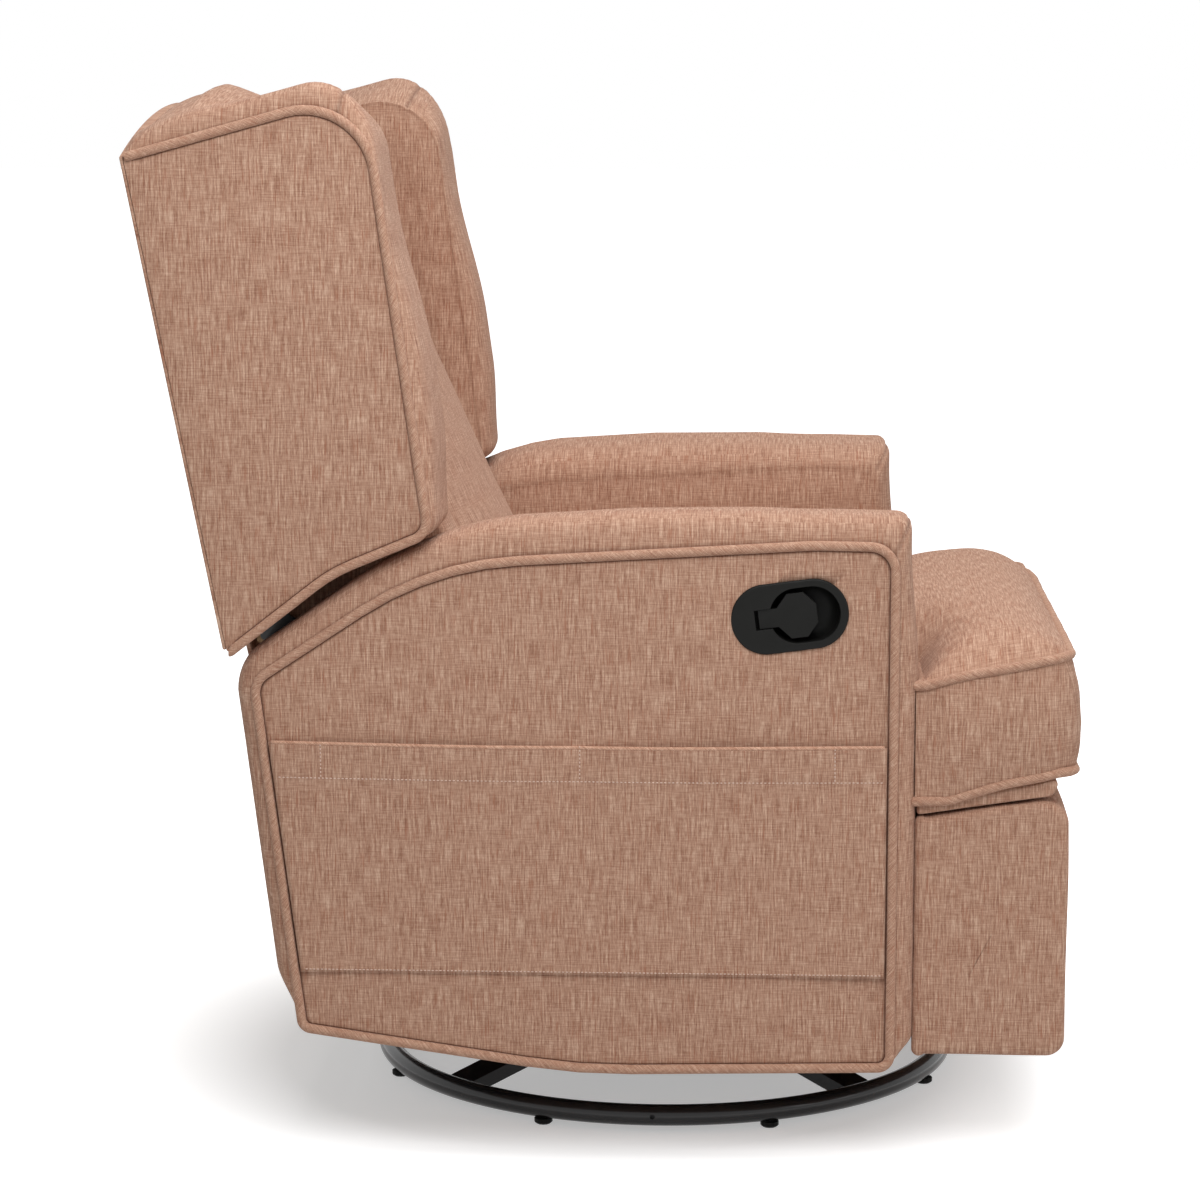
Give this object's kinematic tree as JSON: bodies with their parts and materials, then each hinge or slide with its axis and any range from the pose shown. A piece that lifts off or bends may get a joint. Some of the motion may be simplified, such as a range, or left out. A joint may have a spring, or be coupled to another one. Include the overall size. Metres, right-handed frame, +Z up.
{
  "type": "swivel glider recliner",
  "caption": "Upholstered wing-back swivel glider recliner with a pull-paddle release, side pocket, T-shaped seat cushion, folding footrest and round swivel base.",
  "frame": {"origin": "on the floor, under the middle of the chair's overall box with the back upright and the footrest stowed", "axes": "+Z up, -Y the way the sitter faces, +X towards the sitter's left arm; the release paddle and the pocket are on the -X side"},
  "size_m": [0.7656, 0.9035, 1.0083],
  "materials": {
    "heathered_fabric": "heathered woven upholstery in a dusty terracotta, matt",
    "pine_board": "sawn, unfinished",
    "black_steel": "gloss black powder coat",
    "zinc_steel": "bright zinc plating",
    "black_plastic": "satin moulded black"
  },
  "bodies": {
    "base": {"base_ring": "black_steel", "base_cross": "black_steel", "foot_glide_1": "black_plastic", "foot_glide_2": "black_plastic", "foot_glide_3": "black_plastic", "foot_glide_4": "black_plastic", "foot_glide_5": "black_plastic", "foot_glide_6": "black_plastic", "foot_glide_7": "black_plastic", "foot_glide_8": "black_plastic", "swivel_bearing_lower": "zinc_steel"},
    "turntable": {"swivel_bearing_upper": "zinc_steel", "swivel_platform": "black_steel", "glider_rail_left": "black_steel", "glider_rail_right": "black_steel"},
    "rear_links": {"rear_link_left": "zinc_steel", "rear_link_right": "zinc_steel"},
    "front_links": {"front_link_left": "zinc_steel", "front_link_right": "zinc_steel"},
    "chassis": {"hanger_rail_left": "black_steel", "hanger_rail_right": "black_steel", "cross_tube_front": "black_steel", "cross_tube_rear": "black_steel", "mechanism_plate_left": "black_steel", "mechanism_plate_right": "black_steel", "arm_left": "heathered_fabric", "arm_right": "heathered_fabric", "side_pocket": "heathered_fabric", "release_bezel": "black_plastic", "seat_rail_left": "pine_board", "seat_rail_right": "pine_board", "seat_rail_front": "heathered_fabric", "seat_rail_rear": "pine_board", "seat_suspension": "zinc_steel", "seat_cushion": "heathered_fabric", "rear_valance": "heathered_fabric"},
    "paddle": {"release_paddle": "black_plastic"},
    "back": {"back_bracket_left": "black_steel", "back_bracket_right": "black_steel", "back_post_left": "pine_board", "back_post_right": "pine_board", "back_rail_top": "pine_board", "back_rail_bottom": "pine_board", "outside_back": "heathered_fabric", "wing_left": "heathered_fabric", "wing_right": "heathered_fabric", "back_cushion": "heathered_fabric"},
    "drive_links": {"drive_link_left": "zinc_steel", "drive_link_right": "zinc_steel", "torque_tube": "black_steel"},
    "carrier_links": {"carrier_link_left": "zinc_steel", "carrier_link_right": "zinc_steel"},
    "control_links": {"control_link_left": "zinc_steel", "control_link_right": "zinc_steel"},
    "stay_links": {"stay_link_left": "zinc_steel", "stay_link_right": "zinc_steel"},
    "footrest": {"footrest_bracket_left": "zinc_steel", "footrest_bracket_right": "zinc_steel", "footrest_board": "pine_board", "footrest_pad": "heathered_fabric"}
  },
  "joints": [
    {"name": "swivel", "type": "hinge", "parent": "base", "child": "turntable", "pos_m": [0, -0.05, 0.07], "axis": [0, 0, 1], "continuous": true},
    {"name": "rear_swing", "type": "hinge", "parent": "turntable", "child": "rear_links", "pos_m": [0, 0.09, 0.22], "axis": [1, 0, 0], "range_deg": [-20, 20]},
    {"name": "front_swing", "type": "hinge", "parent": "turntable", "child": "front_links", "pos_m": [0, -0.19, 0.22], "axis": [1, 0, 0], "range_deg": [-20.01, 20.01]},
    {"name": "chassis_level", "type": "hinge", "parent": "rear_links", "child": "chassis", "pos_m": [0, 0.09, 0.125], "axis": [1, 0, 0], "range_deg": [-20.01, 20.01]},
    {"name": "back_recline", "type": "hinge", "parent": "chassis", "child": "back", "pos_m": [0, 0.215, 0.375], "axis": [-1, 0, 0], "range_deg": [0, 30]},
    {"name": "footrest_drive", "type": "hinge", "parent": "chassis", "child": "drive_links", "pos_m": [0, -0.16, 0.315], "axis": [-1, 0, 0], "range_deg": [0, 86.77]},
    {"name": "footrest_carrier", "type": "hinge", "parent": "drive_links", "child": "carrier_links", "pos_m": [0, -0.13344, 0.11173], "axis": [-1, 0, 0], "range_deg": [-118.42, 0]},
    {"name": "footrest_tilt", "type": "hinge", "parent": "carrier_links", "child": "footrest", "pos_m": [0, -0.275, 0.26], "axis": [-1, 0, 0], "range_deg": [0, 116.66]},
    {"name": "footrest_control", "type": "hinge", "parent": "chassis", "child": "control_links", "pos_m": [0, -0.10887, 0.28948], "axis": [-1, 0, 0], "range_deg": [0, 85.27]},
    {"name": "footrest_stay", "type": "hinge", "parent": "drive_links", "child": "stay_links", "pos_m": [0, -0.14392, 0.15121], "axis": [-1, 0, 0], "range_deg": [-118.41, 0]},
    {"name": "release", "type": "hinge", "parent": "chassis", "child": "paddle", "pos_m": [-0.3695, -0.14576, 0.51902], "axis": [0, -0.1305, -0.9914], "range_deg": [0, 28], "stiffness_Nm_per_rad": 0.5}
  ],
  "couplings": [
    {"joint": "front_swing", "follows": "rear_swing", "ratio": 1},
    {"joint": "chassis_level", "follows": "rear_swing", "ratio": -1},
    {"joint": "footrest_carrier", "follows": "footrest_drive", "ratio": -1.3647},
    {"joint": "footrest_tilt", "follows": "footrest_drive", "ratio": 1.3444},
    {"joint": "footrest_control", "follows": "footrest_drive", "ratio": 0.98261},
    {"joint": "footrest_stay", "follows": "footrest_drive", "ratio": -1.3646}
  ]
}
